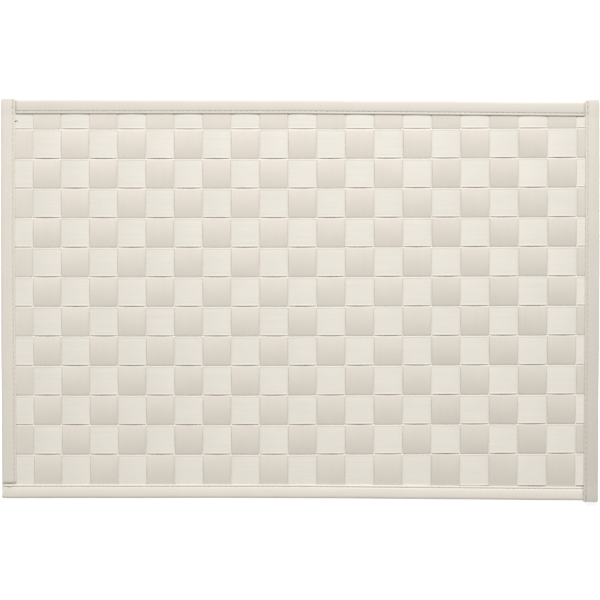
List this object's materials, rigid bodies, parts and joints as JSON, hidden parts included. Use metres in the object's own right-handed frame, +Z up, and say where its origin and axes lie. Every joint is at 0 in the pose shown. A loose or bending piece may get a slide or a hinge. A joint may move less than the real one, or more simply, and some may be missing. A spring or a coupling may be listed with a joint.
{
  "type": "woven bast placemat",
  "caption": "Flat rectangular table mat of wide bast ribbons in plain weave, with a folded ribbon binding sewn over each edge.",
  "frame": {"origin": "under the middle of the mat, on the surface that it lies on", "axes": "+X along the long side, to the right as seen from above with the back edge away, +Y towards the back edge, +Z up through the mat's face"},
  "size_m": [0.451, 0.3038, 0.0035],
  "materials": {
    "warp_bast": "matt natural bast ribbon, fibres from front to back",
    "weft_bast": "matt natural bast ribbon with a soft sheen, fibres from side to side",
    "binding_bast": "matt natural bast ribbon, folded, fibres along the edge",
    "thread": "fine matt sewing thread in the bast's own colour"
  },
  "bodies": {
    "root": {"warp_strip_01": "warp_bast", "warp_strip_02": "warp_bast", "warp_strip_03": "warp_bast", "warp_strip_04": "warp_bast", "warp_strip_05": "warp_bast", "warp_strip_06": "warp_bast", "warp_strip_07": "warp_bast", "warp_strip_08": "warp_bast", "warp_strip_09": "warp_bast", "warp_strip_10": "warp_bast", "warp_strip_11": "warp_bast", "warp_strip_12": "warp_bast", "warp_strip_13": "warp_bast", "warp_strip_14": "warp_bast", "warp_strip_15": "warp_bast", "warp_strip_16": "warp_bast", "warp_strip_17": "warp_bast", "warp_strip_18": "warp_bast", "warp_strip_19": "warp_bast", "warp_strip_20": "warp_bast", "warp_strip_21": "warp_bast", "weft_strip_01": "weft_bast", "weft_strip_02": "weft_bast", "weft_strip_03": "weft_bast", "weft_strip_04": "weft_bast", "weft_strip_05": "weft_bast", "weft_strip_06": "weft_bast", "weft_strip_07": "weft_bast", "weft_strip_08": "weft_bast", "weft_strip_09": "weft_bast", "weft_strip_10": "weft_bast", "weft_strip_11": "weft_bast", "weft_strip_12": "weft_bast", "weft_strip_13": "weft_bast", "binding_back": "binding_bast", "binding_left": "binding_bast", "binding_front": "binding_bast", "binding_right": "binding_bast"}
  },
  "joints": []
}
